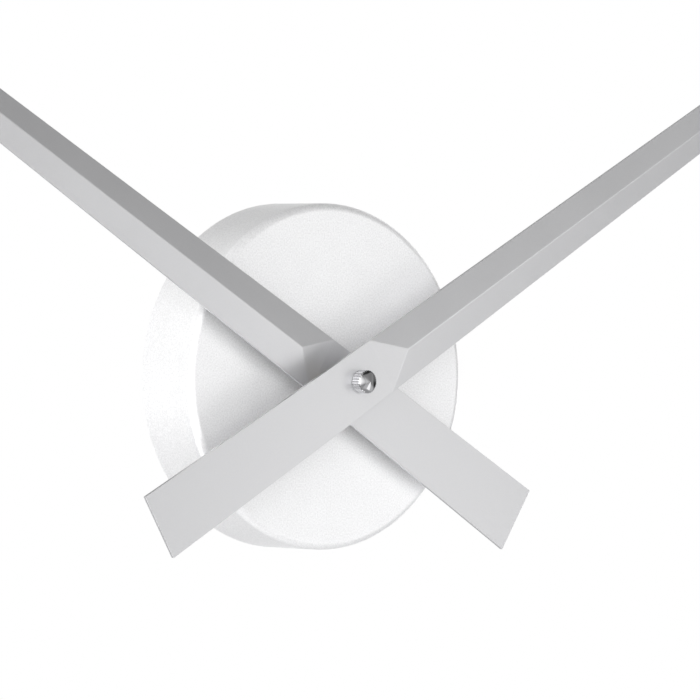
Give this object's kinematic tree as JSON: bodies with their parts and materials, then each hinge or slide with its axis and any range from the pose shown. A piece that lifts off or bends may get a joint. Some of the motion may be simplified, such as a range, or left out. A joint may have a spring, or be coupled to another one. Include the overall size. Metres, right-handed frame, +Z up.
{
  "type": "wall clock",
  "caption": "Wall clock with two long folded metal hands on a small round silver housing, with its battery movement inside.",
  "frame": {"origin": "point of the wall plane behind the shaft of the hands", "axes": "+Z up, the clock faces -Y, +X to the right as seen by the reader"},
  "size_m": [0.6829, 0.0511, 0.2933],
  "materials": {
    "silver_housing": "fine-grained silver lacquer, satin",
    "hand_metal": "matt silver, fine grain",
    "polished_chrome": "polished",
    "turned_brass": "fine turned",
    "zinc_steel": "zinc plated sheet",
    "soft_iron": "rolled, bare",
    "nickel_strip": "nickel plated spring strip",
    "black_case": "spark-eroded grain",
    "knob_plastic": "moulded, satin",
    "white_gear": "moulded acetal",
    "black_rubber": "matt",
    "copper_wire": "enamelled copper wire",
    "board_laminate": "solder-masked laminate",
    "chip_resin": "cast resin drop",
    "magnet_ferrite": "sintered",
    "cell_jacket": "printed steel jacket, plain"
  },
  "bodies": {
    "clock_body": {"housing_cup": "silver_housing", "rubber_washer": "black_rubber", "front_washer": "turned_brass", "fixing_nut": "turned_brass", "threaded_bush": "turned_brass", "hanger_bracket": "zinc_steel", "case_front": "black_case", "case_back": "black_case", "middle_plate": "white_gear", "contact_positive": "nickel_strip", "contact_negative": "nickel_strip", "circuit_board": "board_laminate", "clock_chip": "chip_resin", "quartz_crystal": "nickel_strip", "stator": "soft_iron", "coil_core": "soft_iron", "coil_bobbin": "white_gear", "coil_winding": "copper_wire"},
    "minute_group": {"minute_hand": "hand_metal", "minute_collet": "turned_brass", "cap_nut": "polished_chrome", "minute_arbor": "turned_brass"},
    "hour_group": {"hour_hand": "hand_metal", "hour_collet": "turned_brass", "hour_wheel": "white_gear"},
    "reverse_gear": {"reverse_wheel": "white_gear"},
    "setting_gear": {"setting_arbor": "white_gear", "setting_knob": "knob_plastic"},
    "centre_gear": {"centre_wheel": "white_gear", "clutch_spring": "nickel_strip"},
    "third_gear": {"third_wheel": "white_gear"},
    "seconds_gear": {"seconds_wheel": "white_gear", "seconds_arbor": "nickel_strip"},
    "intermediate_gear": {"intermediate_wheel": "white_gear"},
    "rotor": {"rotor_pinion": "white_gear", "rotor_magnet": "magnet_ferrite"},
    "cell": {"battery": "cell_jacket"}
  },
  "joints": [
    {"name": "minute_hand_turn", "type": "hinge", "parent": "clock_body", "child": "minute_group", "pos_m": [0, 0, 0], "axis": [0, 1, 0], "continuous": true},
    {"name": "hour_hand_turn", "type": "hinge", "parent": "clock_body", "child": "hour_group", "pos_m": [0, 0, 0], "axis": [0, 1, 0], "continuous": true},
    {"name": "reverse_wheel_turn", "type": "hinge", "parent": "clock_body", "child": "reverse_gear", "pos_m": [-0.00831, 0, 0.0048], "axis": [0, 1, 0], "continuous": true},
    {"name": "setting_knob_turn", "type": "hinge", "parent": "clock_body", "child": "setting_gear", "pos_m": [-0.01479, 0, 0.01252], "axis": [0, 1, 0], "continuous": true},
    {"name": "centre_wheel_turn", "type": "hinge", "parent": "clock_body", "child": "centre_gear", "pos_m": [0, 0, 0], "axis": [0, 1, 0], "continuous": true},
    {"name": "third_wheel_turn", "type": "hinge", "parent": "clock_body", "child": "third_gear", "pos_m": [0.01076, 0, 0.00094], "axis": [0, 1, 0], "continuous": true},
    {"name": "seconds_wheel_turn", "type": "hinge", "parent": "clock_body", "child": "seconds_gear", "pos_m": [0, 0, 0], "axis": [0, 1, 0], "continuous": true},
    {"name": "intermediate_wheel_turn", "type": "hinge", "parent": "clock_body", "child": "intermediate_gear", "pos_m": [-0.00188, 0, 0.01064], "axis": [0, 1, 0], "continuous": true},
    {"name": "rotor_turn", "type": "hinge", "parent": "clock_body", "child": "rotor", "pos_m": [0.0047, 0, 0.01303], "axis": [0, 1, 0], "continuous": true},
    {"name": "battery_slide", "type": "slide", "parent": "clock_body", "child": "cell", "axis": [0, 1, 0], "range_m": [0, 0.022]}
  ],
  "couplings": [
    {"joint": "hour_hand_turn", "follows": "minute_hand_turn", "ratio": 0.083333},
    {"joint": "reverse_wheel_turn", "follows": "minute_hand_turn", "ratio": -0.33333},
    {"joint": "setting_knob_turn", "follows": "minute_hand_turn", "ratio": 0.83333},
    {"joint": "centre_wheel_turn", "follows": "minute_hand_turn", "ratio": 1},
    {"joint": "third_wheel_turn", "follows": "minute_hand_turn", "ratio": -8},
    {"joint": "seconds_wheel_turn", "follows": "minute_hand_turn", "ratio": 60},
    {"joint": "intermediate_wheel_turn", "follows": "minute_hand_turn", "ratio": -300},
    {"joint": "rotor_turn", "follows": "minute_hand_turn", "ratio": 1800}
  ]
}
